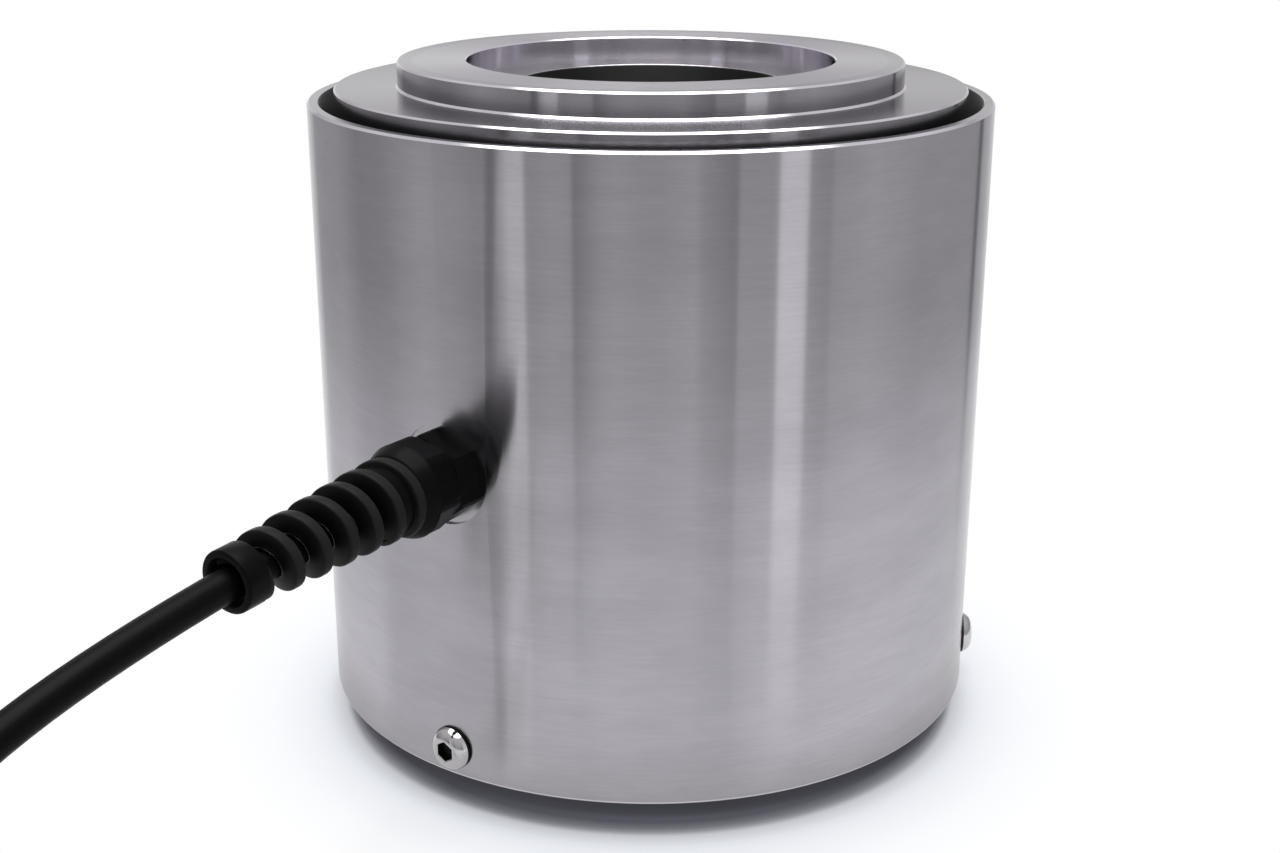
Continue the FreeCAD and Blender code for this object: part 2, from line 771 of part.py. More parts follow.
def build():
    os.makedirs("parts", exist_ok=True)
    save(sensing_body(), "sensing_body")
    save(outer_shell(), "outer_shell")
    save(shell_seal(lower_seal_height), "lower_shell_seal")
    save(shell_seal(upper_seal_height), "upper_shell_seal")
    save(shell_screws(), "shell_screws")
    save(at_gland(gland_body()), "gland_body")
    save(at_gland(gland_face_seal()), "gland_face_seal")
    save(gland_locknut(), "gland_locknut")
    save(at_gland(gland_insert()), "gland_insert")
    save(at_gland(gland_cap()), "gland_cap")
    for index in range(2 * gauge_stations):
        save(gauge_shape(index), f"strain_gauge_{index + 1}")
    save(gauge_terminals(), "gauge_terminals")
    save(bridge_harness(), "bridge_harness")
    save(terminal_board(), "terminal_board")
    save(board_spacers(), "board_spacers")
    save(board_screws(), "board_screws")
    save(trim_resistors(), "trim_resistors")
    for index, colour in enumerate(core_colours):
        save(inner_core(index), f"core_{colour}")
    coil = cable_coil()
    save(swept_tube(cable_route, cable_radius, "cable").cut(coil), "cable")
    save(coil, "cable_coil")
    save(swept_tube(tail_route, cable_radius, "cable_tail").cut(coil), "cable_tail")
    save(end_sleeve(), "cable_end_sleeve")
    for index, colour in enumerate(core_colours):
        save(swept_tube(lead_route(index), core_radius, f"lead_{colour}"), f"lead_{colour}")
    save(lead_tips(), "lead_tips")


build()
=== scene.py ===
import math

import bmesh
import bpy
from mathutils import Matrix


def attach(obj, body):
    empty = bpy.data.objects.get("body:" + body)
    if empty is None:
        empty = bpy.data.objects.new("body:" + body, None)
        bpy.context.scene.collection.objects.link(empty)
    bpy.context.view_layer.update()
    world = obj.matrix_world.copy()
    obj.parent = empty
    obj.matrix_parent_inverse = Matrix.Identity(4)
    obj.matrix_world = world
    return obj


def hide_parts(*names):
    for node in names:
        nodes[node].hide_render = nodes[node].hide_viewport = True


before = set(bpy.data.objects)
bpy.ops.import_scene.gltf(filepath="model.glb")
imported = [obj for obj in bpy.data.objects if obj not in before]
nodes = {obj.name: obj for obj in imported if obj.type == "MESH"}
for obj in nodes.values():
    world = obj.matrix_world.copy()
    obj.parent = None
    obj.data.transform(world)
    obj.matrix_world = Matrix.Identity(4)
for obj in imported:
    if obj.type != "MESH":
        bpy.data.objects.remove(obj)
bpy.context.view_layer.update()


def addObject(name, data):
    item = bpy.data.objects.new(name, data)
    bpy.context.scene.collection.objects.link(item)
    return item


def meshOf(item):
    # the plain mesh of an object with its modifiers or its curve worked out
    bpy.context.view_layer.update()
    seen = item.evaluated_get(bpy.context.evaluated_depsgraph_get())
    return bpy.data.meshes.new_from_object(seen)


# Camera

shot = {
    "place": (0.33227, 0.21909, 0.19325),
    "heading": 213.72,  # degrees from +X
    "down": 18.53,
    "roll": 0.10,
    "lens": 50.24,
    "sensor": 36.0,
    "clip": (0.01, 50.0),
}


def makeCamera(spec):
    data = bpy.data.cameras.new("photoCamera")
    data.lens = spec["lens"]
    data.sensor_fit = "HORIZONTAL"
    data.sensor_width = spec["sensor"]
    data.clip_start, data.clip_end = spec["clip"]
    camera = addObject("photoCamera", data)
    turn = Matrix.Rotation(math.radians(spec["heading"] - 90), 4, "Z")
    tilt = Matrix.Rotation(math.radians(90 - spec["down"]), 4, "X")
    roll = Matrix.Rotation(math.radians(spec["roll"]), 4, "Z")
    camera.matrix_world = Matrix.Translation(spec["place"]) @ turn @ tilt @ roll
    bpy.context.scene.camera = camera


makeCamera(shot)
print("camera set")


# Cable: one spline along the route, the coil's turns and the tail

cable = {
    "radius": 0.0032,
    "exit": (0.0743, 0, 0.0706),
    "route": [
        (0.066, 0, 0.0706), (0.1085, 0, 0.0706), (0.168, 0, 0.0642), (0.199, 0, 0.0548),
        (0.222, -0.0003, 0.0415), (0.241, -0.0008, 0.0282), (0.256, -0.0042, 0.0226),
    ],
    "coilCentre": (0.238, -0.0444),
    "coilRadii": (0.0444, 0.038, 0.0316),
    "layers": 4,
    "firstAngle": 65.9,  # degrees from +X, and the turns run clockwise
    "pointsPerTurn": 14,
    "lastPoint": 148,
    "shift": 0.13,  # share of a turn over which the cable moves to the next lane
    "tail": [
        (0.1952, -0.056, 0.0032), (0.1914, -0.030, 0.0032),
        (0.1848, -0.006, 0.0038), (0.1818, 0.015, 0.0038),
    ],
    "length": 2.805,
    "lineSteps": 8,
    "roundSteps": 6,
}


def coilLanes(spec):
    # (turn, radius, height) wherever the cable starts or ends a move to another lane or layer
    step = 2 * spec["radius"]
    shift = spec["shift"]
    lanes = []
    begin = 0.0
    for layer in range(spec["layers"]):
        radii = spec["coilRadii"] if layer % 2 == 0 else spec["coilRadii"][::-1]
        height = spec["radius"] + step * (spec["layers"] - 1 - layer)
        lanes.append((begin, radii[0], height))
        for k in range(1, len(radii)):
            lanes.append((begin + k - 2 * shift, radii[k - 1], height))
            lanes.append((begin + k - shift, radii[k], height))
        lanes.append((begin + len(radii) - 3 * shift, radii[-1], height))
        begin += len(radii) - 2 * shift
    return lanes


def alongLanes(lanes, turn):
    # radius and height at a turn, eased from one lane to the next
    for before, after in zip(lanes, lanes[1:]):
        if turn <= after[0]:
            share = (turn - before[0]) / (after[0] - before[0])
            share = share * share * (3 - 2 * share)
            return [before[i] + (after[i] - before[i]) * share for i in (1, 2)]
    return lanes[-1][1:]


def cablePoints(spec):
    lanes = coilLanes(spec)
    # the spline touches the middle of each run, so the points lie a little outside the turn
    widen = 1 / math.cos(math.pi / spec["pointsPerTurn"])
    turns = []
    for k in range(1, spec["lastPoint"] + 1):
        turn = k / spec["pointsPerTurn"]
        radius, height = alongLanes(lanes, turn)
        angle = math.radians(spec["firstAngle"] - 360 * turn)
        turns.append((
            spec["coilCentre"][0] + radius * widen * math.cos(angle),
            spec["coilCentre"][1] + radius * widen * math.sin(angle),
            height,
        ))
    return spec["route"] + turns + spec["tail"]


def makeCable(spec):
    curve = bpy.data.curves.new("cableLine", "CURVE")
    curve.dimensions = "3D"
    spline = curve.splines.new("NURBS")
    points = cablePoints(spec)
    spline.points.add(len(points) - 1)
    for point, place in zip(spline.points, points):
        point.co = (*place, 1)
    spline.order_u = 3
    spline.use_endpoint_u = True
    spline.resolution_u = spec["lineSteps"]
    line = addObject("cableLine", curve)
    path = [vertex.co.copy() for vertex in meshOf(line).vertices]
    curve.bevel_depth = spec["radius"]
    curve.bevel_resolution = spec["roundSteps"]
    curve.use_fill_caps = True
    jacket = addObject("cableJacket", meshOf(line))
    bpy.data.objects.remove(line)
    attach(jacket, "root")
    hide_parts("cable", "cable_coil", "cable_tail")
    ends = [nodes[name] for name in (
        "cable_end_sleeve", "lead_red", "lead_white", "lead_shield", "lead_green", "lead_black",
        "lead_tips",
    )]
    for piece in (jacket, *ends):
        piece.visible_glossy = False  # the photo's steel doesn't mirror the cable or its far end
    return jacket


jacket = makeCable(cable)
print("cable laid and coiled")


# Node helpers

def setInputs(node, inputs):
    # a socket is linked, any other value is set
    for key, value in inputs.items():
        if isinstance(value, bpy.types.NodeSocket):
            node.id_data.links.new(value, node.inputs[key])
        else:
            node.inputs[key].default_value = value


def addNode(tree, kind, inputs=None, **settings):
    made = tree.nodes.new(kind)
    for key, value in settings.items():
        setattr(made, key, value)
    setInputs(made, inputs or {})
    return made


def calc(tree, operation, first, second=0.0, third=0.0):
    inputs = {0: first, 1: second, 2: third}
    return addNode(tree, "ShaderNodeMath", inputs, operation=operation).outputs[0]


def vectorCalc(tree, operation, first, second=(0, 0, 0)):
    inputs = {0: first, 1: second}
    return addNode(tree, "ShaderNodeVectorMath", inputs, operation=operation).outputs


def split(tree, vector):
    return addNode(tree, "ShaderNodeSeparateXYZ", {0: vector}).outputs


def join(tree, x=0.0, y=0.0, z=0.0):
    return addNode(tree, "ShaderNodeCombineXYZ", {0: x, 1: y, 2: z}).outputs[0]


def fromAxis(tree, place):
    # the place laid flat, and its distance from the cell's axis
    flat = vectorCalc(tree, "MULTIPLY", place, (1, 1, 0))[0]
    return flat, vectorCalc(tree, "LENGTH", flat)["Value"]


def span(tree, value, low, high, fromLow=0.0, fromHigh=1.0):
    # what lies from fromLow to fromHigh is laid out from low to high
    inputs = {
        "Value": value, "From Min": fromLow, "From Max": fromHigh, "To Min": low, "To Max": high,
    }
    return addNode(tree, "ShaderNodeMapRange", inputs).outputs["Result"]


def mixValue(tree, factor, first, second):
    return addNode(tree, "ShaderNodeMix", {0: factor, 2: first, 3: second}).outputs[0]


def mixColour(tree, factor, first, second):
    inputs = {0: factor, 6: first, 7: second}
    return addNode(tree, "ShaderNodeMix", inputs, data_type="RGBA").outputs[2]


def mixShader(tree, factor, first, second):
    return addNode(tree, "ShaderNodeMixShader", {0: factor, 1: first, 2: second}).outputs[0]


def grey(tone):
    return (tone, tone, tone, 1)


def toneRamp(tree, value, tones):
    # brightness along a value, in straight runs from tone to tone
    low, high = tones[0][0], tones[-1][0]
    ramp = addNode(tree, "ShaderNodeValToRGB", {"Fac": span(tree, value, 0.0, 1.0, low, high)})
    stops = ramp.color_ramp.elements
    for place, tone in tones:
        share = (place - low) / (high - low)
        stop = stops[0] if share == 0 else stops[-1] if share == 1 else stops.new(share)
        stop.color = grey(tone)
    return ramp.outputs["Color"]


def degreesRight(tree, vector):
    # azimuth round the cell's axis: 0 is towards the camera, more is to the picture's right
    inputs = {"Vector": vector, "Angle": math.radians(180 - shot["heading"])}
    turned = addNode(tree, "ShaderNodeVectorRotate", inputs, rotation_type="Z_AXIS").outputs[0]
    parts = split(tree, turned)
    return calc(tree, "DEGREES", calc(tree, "ARCTAN2", parts["Y"], parts["X"]))


def newFinish(name):
    material = bpy.data.materials.new(name)
    material.use_nodes = True
    tree = material.node_tree
    shader = tree.nodes["Principled BSDF"]
    place = addNode(tree, "ShaderNodeTexCoord").outputs["Object"]
    return material, tree, shader, place


# Paper floor, with the shadow and what the steel mirrors of it

paper = {
    "size": 8.0,
    "colour": (0.91, 0.93, 0.965, 1),
    "roughness": 0.9,
    "gloss": 0.1,
    "shadowCentre": (0.00872, 0.00592, 0),  # the painted soft shadow falls towards the front
    "paintedShadowColour": (0.18, 0.185, 0.22, 1),  # painted shadow right under the cell's edge
    "paintedShadowTo": (0.0663, 0.0755),  # from the shadow's centre: painted shadow colour, own colour
    # the white share also shapes the painted shadow's edge
    "whiteShare": [  # distance from the shadow's centre, share of white that the camera sees
        (0.06, 0.02), (0.0686, 0.012), (0.0701, 0.11), (0.0716, 0.45), (0.0731, 0.52),
        (0.0751, 0.65), (0.0771, 0.76), (0.08, 0.82), (0.084, 0.86), (0.09, 0.93), (0.11, 1.0),
    ],
    "coolWhite": (0.92, 0.95, 1.0, 1),
    "coolTo": (0.074, 0.102),  # from the shadow's centre: painted cool shade, plain white
    "sheetGlow": 0.6,  # share of white that the steel sees in the paper
    "sheetEdge": (0.09, 0.40),  # from the axis: where the steel starts to lose the paper, and ends
    "sheetFalloff": 0.72,
    "sheetLost": 0.85,
    "sheetShade": [  # azimuth in the steel, share of the paper painted dark for its reflections
        (-180, 0.0), (-112, 0.0), (-102, 0.25), (-54, 0.25), (-53, 0.4), (-50, 0.4), (-48, 0.0),
        (-41, 0.0), (-39, 0.13), (27, 0.13), (36, 0.0), (180, 0.0),
    ],
    "sheetShadeFrom": (0.078, 0.115),  # from the axis: where that darkness starts, and is whole
    "sheetLean": 0.0375,  # half the shell's radius: what it mirrors starts on it, not on the axis
}


def makeFloor(spec):
    half = spec["size"] / 2
    corners = [(-half, -half, 0), (half, -half, 0), (half, half, 0), (-half, half, 0)]
    mesh = bpy.data.meshes.new("studioFloor")
    mesh.from_pydata(corners, [], [(0, 1, 2, 3)])
    floor = addObject("studioFloor", mesh)
    material, tree, shader, place = newFinish("palePaper")
    ray = addNode(tree, "ShaderNodeLightPath").outputs
    distance = vectorCalc(tree, "LENGTH", place)["Value"]
    fromShadow = vectorCalc(tree, "DISTANCE", place, spec["shadowCentre"])["Value"]
    white = grey(1)

    def glowing(colour, strength=1.0):
        inputs = {"Color": colour, "Strength": strength}
        return addNode(tree, "ShaderNodeEmission", inputs).outputs[0]

    # the lit paper, with a painted shadow under the cell, which turns into white for the camera
    clear = span(tree, fromShadow, 0.0, 1.0, *spec["paintedShadowTo"])
    setInputs(shader, {
        "Base Color": mixColour(tree, clear, spec["paintedShadowColour"], spec["colour"]),
        "Roughness": spec["roughness"],
        "Specular IOR Level": spec["gloss"],
    })
    # painted cool shade in the white at the shadow's edge
    warm = span(tree, fromShadow, 0.0, 1.0, *spec["coolTo"])
    background = glowing(mixColour(tree, warm, spec["coolWhite"], white))
    asSeen = toneRamp(tree, fromShadow, spec["whiteShare"])
    asSeen = calc(tree, "MULTIPLY", asSeen, ray["Is Camera Ray"])
    sheet = mixShader(tree, asSeen, shader.outputs[0], background)

    # the steel sees it brighter, and less and less of it further out
    glow = calc(tree, "MULTIPLY", spec["sheetGlow"], ray["Is Glossy Ray"])
    sheet = mixShader(tree, glow, sheet, glowing(white))
    beyond = span(tree, distance, 0.0, 1.0, *spec["sheetEdge"])
    beyond = calc(tree, "POWER", beyond, spec["sheetFalloff"])
    lost = calc(tree, "MULTIPLY", beyond, spec["sheetLost"])
    lost = calc(tree, "MULTIPLY", lost, ray["Is Glossy Ray"])
    sheet = mixShader(tree, lost, sheet, addNode(tree, "ShaderNodeBsdfTransparent").outputs[0])

    # painted reflection: the steel's dark streaks go on in dark bands painted into the paper that
    # it mirrors near the cell
    lean = calc(tree, "SUBTRACT", 1.0, calc(tree, "DIVIDE", spec["sheetLean"], distance))
    mirrored = calc(tree, "DIVIDE", degreesRight(tree, place), lean)
    shade = toneRamp(tree, mirrored, spec["sheetShade"])
    shade = calc(tree, "MULTIPLY", shade, calc(tree, "SUBTRACT", 1.0, beyond))
    shadeStart = span(tree, distance, 0.0, 1.0, *spec["sheetShadeFrom"])
    shade = calc(tree, "MULTIPLY", shade, shadeStart)
    shade = calc(tree, "MULTIPLY", shade, ray["Is Glossy Ray"])
    sheet = mixShader(tree, shade, sheet, glowing(white, 0.0))
    setInputs(tree.nodes["Material Output"], {"Surface": sheet})
    mesh.materials.append(material)


# Room that the steel mirrors

room = {
    "sideTones": [  # azimuth, brightness of the wall
        (-180, 1.0), (-158, 0.8), (-150, 0.62), (-148, 0.38), (-146, 0.41), (-125, 0.42),
        (-111, 0.25), (-99, 0.26), (-80, 0.42), (-60, 0.30), (60, 0.38), (76, 0.46), (99, 0.35),
        (129, 0.38), (136.5, 0.36), (137.5, 0.0), (140.5, 0.0), (141.8, 0.5), (148, 0.55),
        (156, 0.68), (180, 0.9),
    ],
    "windowTones": [  # the same for the wall behind the camera, with its windows' sharp edges
        (-60, 0.28), (-54.5, 0.28), (-53, 0.08), (-51, 0.10), (-49, 0.50), (-46.5, 0.72),
        (-41.2, 0.75), (-40.6, 0.32), (-32, 0.40), (-25.4, 0.38), (-24.9, 0.16), (-16, 0.38),
        (-11, 0.42), (-3, 0.37), (3, 0.37), (14, 0.43), (16.5, 0.33), (27.6, 0.18), (28.1, 0.38),
        (41, 0.36), (41.5, 0.92), (49, 0.91), (51.0, 0.86), (51.8, 0.36), (60, 0.28),
    ],
    "wallTop": (0.05, 0.6),  # rise of the direction over which the wall turns into the ceiling
    "ceiling": 0.6,
    "skylightFrom": (0.82, 0.9),  # rise over which the bright ceiling light starts
    "skylight": 4.5,
    "fill": 0.22,  # what the room gives to matt surfaces
    "tint": (1.0, 0.99, 1.01),
}


def makeRoom(spec):
    world = bpy.data.worlds.new("studioRoom")
    world.use_nodes = True
    tree = world.node_tree
    tree.nodes.remove(tree.nodes["Background"])
    heading = addNode(tree, "ShaderNodeTexCoord").outputs["Generated"]
    rise = split(tree, heading)["Z"]
    degrees = degreesRight(tree, heading)

    def backdrop(colour, strength=1.0):
        inputs = {"Color": colour, "Strength": strength}
        return addNode(tree, "ShaderNodeBackground", inputs).outputs[0]

    sides = toneRamp(tree, degrees, spec["sideTones"])
    windows = toneRamp(tree, degrees, spec["windowTones"])
    windowsTo = spec["windowTones"][-1][0]
    behind = calc(tree, "LESS_THAN", calc(tree, "ABSOLUTE", degrees), windowsTo)
    walls = mixColour(tree, behind, sides, windows)
    overWall = span(tree, rise, 0.0, 1.0, *spec["wallTop"])
    tones = mixColour(tree, overWall, walls, grey(spec["ceiling"]))
    overhead = span(tree, rise, 0.0, 1.0, *spec["skylightFrom"])
    tones = mixColour(tree, overhead, tones, grey(spec["skylight"]))
    tinted = vectorCalc(tree, "MULTIPLY", tones, spec["tint"])[0]
    ray = addNode(tree, "ShaderNodeLightPath").outputs
    fill = backdrop((*spec["tint"], 1), spec["fill"])
    light = mixShader(tree, ray["Is Diffuse Ray"], backdrop(tinted), fill)
    light = mixShader(tree, ray["Is Camera Ray"], light, backdrop(grey(1)))
    setInputs(tree.nodes["World Output"], {"Surface": light})
    bpy.context.scene.world = world


# Soft light from above

softbox = {
    "size": 0.16,
    "height": 1.2,
    "behind": 0.115,  # how far it hangs behind the cell's axis, as the camera sees it
    "power": 10.5,
}


def makeLamp(spec):
    data = bpy.data.lights.new("softbox", "AREA")
    data.shape = "SQUARE"
    data.size = spec["size"]
    data.energy = spec["power"]
    lamp = addObject("softbox", data)
    angle = math.radians(shot["heading"])
    behind = spec["behind"]
    lamp.location = (behind * math.cos(angle), behind * math.sin(angle), spec["height"])
    lamp.rotation_euler.z = angle
    lamp.visible_camera = False
    lamp.visible_glossy = False


makeFloor(paper)
makeRoom(room)
makeLamp(softbox)
bpy.context.scene.view_settings.view_transform = "Standard"
print("studio lit")


# Finish helpers

def noise(tree, place, scale, detail=2.0, rough=0.5):
    inputs = {"Vector": place, "Scale": scale, "Detail": detail, "Roughness": rough}
    return addNode(tree, "ShaderNodeTexNoise", inputs).outputs[0]


def wave(tree, place, scale, direction, bend=0.0):
    inputs = {"Vector": place, "Scale": scale, "Distortion": bend}
    return addNode(tree, "ShaderNodeTexWave", inputs, bands_direction=direction).outputs["Fac"]


def bump(tree, height, distance, strength=1.0):
    inputs = {"Height": height, "Distance": distance, "Strength": strength}
    return addNode(tree, "ShaderNodeBump", inputs).outputs[0]


def shades(colour, low, high):
    # a darker and a lighter shade of a colour
    return [(*[min(1, c * share) for c in colour], 1) for share in (low, high)]


# Turned steel

turning = {
    "sideRoughness": 0.135,
    "polish": (-0.04, 0.02),  # added to the side's roughness: by the metal's shade, and all over
    "flatRoughness": 0.16,
    "ringTopFrom": 0.1452,  # above this height the face is cut more coarsely
    "ringTopRoughness": 0.18,
    "insideRoughness": 0.5,
    "stretch": 1.0,  # highlights run across the tool marks
    "stretchTurn": 0.25,
    "edgeTint": 0.8,  # how much of the shine at the outline is left
    "profile": (0.77, 1.31),  # radius and height in the value that runs along the profile
    "marks": (0.00016, 4.0),  # fine tool marks: spacing, and change round the axis
    "marksNoise": (3.0, 0.65),
    "bands": (0.004, 1.5),
    "lines": (0.0005, 10.0),  # the lines that can be seen
    "linesRange": (0.2, 0.8),
    "linesTone": 0.04,
    "linesDepth": 0.000002,
    "smudgeScale": 26.0,
    "smudgeFlat": (1, 1, 2.6),
    "smudgeNoise": (4.0, 0.62),
    "smudgeRange": (0.35, 0.68),
    "shades": (0.86, 1.12),
    "toneUnit": 2.0,  # a tone of one half leaves the colour as it is
    # tone of the painted highlight on the shell's bottom chamfer
    "paintedHighlightTone": 0.9,
    # painted highlight on chamfers, which slant at about 45 degrees
    "slant": (0.7, 0.2),  # upward part of a slanted face's direction, and how far off it may be
    "chamferHighlightTone": 0.95,
}
bodyTurning = {
    "colour": (0.475, 0.458, 0.492),
    "inside": (0.0292, 0.0294),  # within this radius the bore gets painted shade and is rough
    "paintedInsideShade": (0.075, 0.075, 0.073),
    "grain": 0.55,  # share of the fine marks beside the bands
    "blotch": 0.35,  # share of the smudges
    "paintedHighlightBelow": 0.0,
    "sideTones": [  # radius, tone of an upright face, painted for how light falls on it
        (0.03, 1.0), (0.045, 1.0), (0.05, 0.44), (0.06, 0.44), (0.066, 0.3), (0.08, 0.29),
    ],
    # radius, tone of a level face, painted for how light falls on it
    "flatTones": [(0.03, 0.5), (0.0515, 0.5), (0.0525, 0.42), (0.08, 0.42)],
}
shellTurning = {
    "colour": (0.475, 0.456, 0.49),
    "inside": (0.0726, 0.0727),  # within this radius the shell's inside is rough, with painted shade
    "paintedInsideShade": (0.125, 0.122, 0.125),
    "grain": 0.5,
    "blotch": 0.45,
    "paintedHighlightBelow": 0.0036,  # below this height the bottom chamfer gets a painted highlight
    "sideTones": [(0.03, 0.5), (0.08, 0.5)],
    "flatTones": [(0.03, 0.5), (0.08, 0.5)],
}


def lathePlace(tree, place, pitch, spread):
    # one value along the turned profile, and the direction round the axis
    flat, radius = fromAxis(tree, place)
    around = split(tree, vectorCalc(tree, "NORMALIZE", flat)[0])
    byRadius, byHeight = turning["profile"]
    height = calc(tree, "MULTIPLY", split(tree, place)["Z"], byHeight)
    along = calc(tree, "MULTIPLY_ADD", radius, byRadius, height)
    return join(
        tree,
        calc(tree, "MULTIPLY", along, 1 / pitch),
        calc(tree, "MULTIPLY", around["X"], spread),
        calc(tree, "MULTIPLY", around["Y"], spread),
    )


def weigh(tree, first, second, share):
    # share of the first value, and the rest of the second
    kept = calc(tree, "MULTIPLY", first, share)
    return calc(tree, "ADD", kept, calc(tree, "MULTIPLY", second, 1 - share))


def turnedSteel(name, spec):
    material, tree, shader, place = newFinish(name)
    radius = fromAxis(tree, place)[1]
    height = split(tree, place)["Z"]
    facing = addNode(tree, "ShaderNodeNewGeometry").outputs["Normal"]
    upward = calc(tree, "ABSOLUTE", split(tree, facing)["Z"])
    outside = span(tree, radius, 0.0, 1.0, *spec["inside"])

    # the metal's own shade: fine marks, bands and smudges, and the lines that can be seen
    marks = lathePlace(tree, place, *turning["marks"])
    marks = noise(tree, marks, 1.0, *turning["marksNoise"])
    bands = noise(tree, lathePlace(tree, place, *turning["bands"]), 1.0)
    flatter = {"Vector": place, "Scale": turning["smudgeFlat"]}
    flatter = addNode(tree, "ShaderNodeMapping", flatter).outputs[0]
    smudge = noise(tree, flatter, turning["smudgeScale"], *turning["smudgeNoise"])
    worn = span(tree, smudge, 0.0, 1.0, *turning["smudgeRange"])
    shade = weigh(tree, marks, bands, spec["grain"])
    shade = weigh(tree, shade, worn, 1 - spec["blotch"])
    metal = mixColour(tree, shade, *shades(spec["colour"], *turning["shades"]))
    lines = noise(tree, lathePlace(tree, place, *turning["lines"]), 1.0)
    change = turning["linesTone"]
    faint = span(tree, lines, 1 - change, 1 + change, *turning["linesRange"])

    # painted light and shade: upright, level and slanted faces each get a tone for how light falls
    # on them
    tones = [toneRamp(tree, radius, spec[kind]) for kind in ("sideTones", "flatTones")]
    paintedLight = mixColour(tree, upward, *tones)
    # painted highlight on the shell's bottom chamfer
    low = calc(tree, "LESS_THAN", height, spec["paintedHighlightBelow"])
    paintedLight = mixColour(tree, low, paintedLight, grey(turning["paintedHighlightTone"]))
    # painted highlight on every chamfer
    chamferHighlight = calc(tree, "COMPARE", upward, *turning["slant"])
    paintedLight = mixColour(tree, chamferHighlight, paintedLight, grey(turning["chamferHighlightTone"]))
    lined = {0: metal, "Scale": calc(tree, "MULTIPLY", faint, turning["toneUnit"])}
    metal = addNode(tree, "ShaderNodeVectorMath", lined, operation="SCALE").outputs[0]
    metal = vectorCalc(tree, "MULTIPLY", metal, paintedLight)[0]

    onRing = calc(tree, "GREATER_THAN", height, turning["ringTopFrom"])
    flat = span(tree, onRing, turning["flatRoughness"], turning["ringTopRoughness"])
    byShade, allOver = turning["polish"]
    side = calc(tree, "MULTIPLY_ADD", shade, byShade, turning["sideRoughness"] + allOver)
    rough = mixValue(tree, upward, side, flat)
    tangent = addNode(tree, "ShaderNodeTangent", direction_type="RADIAL", axis="Z").outputs[0]
    setInputs(shader, {
        # painted shade inside the bore and the shell's gap
        "Base Color": mixColour(tree, outside, (*spec["paintedInsideShade"], 1), metal),
        "Metallic": 1,
        "Roughness": mixValue(tree, outside, turning["insideRoughness"], rough),
        "Specular Tint": grey(turning["edgeTint"]),
        "Anisotropic": turning["stretch"],
        "Anisotropic Rotation": turning["stretchTurn"],
        "Tangent": tangent,
        "Normal": bump(tree, lines, turning["linesDepth"]),
    })
    return material


# Moulded plastic and rubber

moulding = {
    "flow": (90.0, 3.0),  # scale and detail of the slight unevenness
    "shades": (0.8, 1.25),
    "roughness": (-0.06, 0.08),  # added to each finish's own
}


def mouldedPlastic(name, colour, roughness, gloss=0.5, grainSize=2600.0, grainDepth=0.000008,
                   crestHighlight=None):
    # a painted highlight: the paler colour given for the crest, where the attribute onCrest says
    # so
    material, tree, shader, place = newFinish(name)
    flow = noise(tree, place, *moulding["flow"])
    own = mixColour(tree, flow, *shades(colour, *moulding["shades"]))
    if crestHighlight:
        onCrest = addNode(tree, "ShaderNodeAttribute", attribute_name="onCrest").outputs["Fac"]
        own = mixColour(tree, onCrest, own, (*crestHighlight, 1))
    low, high = moulding["roughness"]
    setInputs(shader, {
        "Base Color": own,
        "Roughness": span(tree, flow, roughness + low, roughness + high),
        "Specular IOR Level": gloss,
        "Normal": bump(tree, noise(tree, place, grainSize), grainDepth),
    })
    return material


# Small metal parts, and the screws' polished heads

smallParts = {
    "stain": (260.0, 4.0, 0.6),  # scale, detail and roughness of the noise
    "shades": (0.82, 1.1),
    "roughness": (-0.05, 0.09),
    "grainDetail": 3.0,
}
screwHead = {
    "stain": (420.0, 4.0, 0.6),
    "shades": (0.85, 1.08),
    "roughness": (-0.03, 0.05),
    "grain": (1500.0, 3.0),
    "grainDepth": 0.000002,
    # painted shade in the socket and on the upright side of the head
    "paintedShadeColour": (0.03, 0.03, 0.032),
    "shadedPartRoughness": 0.45,
}


def smallMetal(name, colour, roughness, grainSize=900.0, grainDepth=0.000004):
    material, tree, shader, place = newFinish(name)
    stain = noise(tree, place, *smallParts["stain"])
    low, high = smallParts["roughness"]
    grain = noise(tree, place, grainSize, smallParts["grainDetail"])
    setInputs(shader, {
        "Base Color": mixColour(tree, stain, *shades(colour, *smallParts["shades"])),
        "Metallic": 1,
        "Roughness": span(tree, stain, roughness + low, roughness + high),
        "Normal": bump(tree, grain, grainDepth),
    })
    return material


def screwSteel(name, colour, roughness):
    # polished head, with painted shade in the socket and on the head's upright side
    material, tree, shader, place = newFinish(name)
    paintedShade = addNode(tree, "ShaderNodeAttribute", attribute_name="paintedScrewShade").outputs["Fac"]
    stain = noise(tree, place, *screwHead["stain"])
    bright = mixColour(tree, stain, *shades(colour, *screwHead["shades"]))
    low, high = screwHead["roughness"]
    polished = span(tree, stain, roughness + low, roughness + high)
    grain = noise(tree, place, *screwHead["grain"])
    setInputs(shader, {
        "Base Color": mixColour(tree, paintedShade, bright, (*screwHead["paintedShadeColour"], 1)),
        "Metallic": 1,
        "Roughness": mixValue(tree, paintedShade, polished, screwHead["shadedPartRoughness"]),
        "Normal": bump(tree, grain, screwHead["grainDepth"]),
    })
    return material


# Gauges, board and bare strands

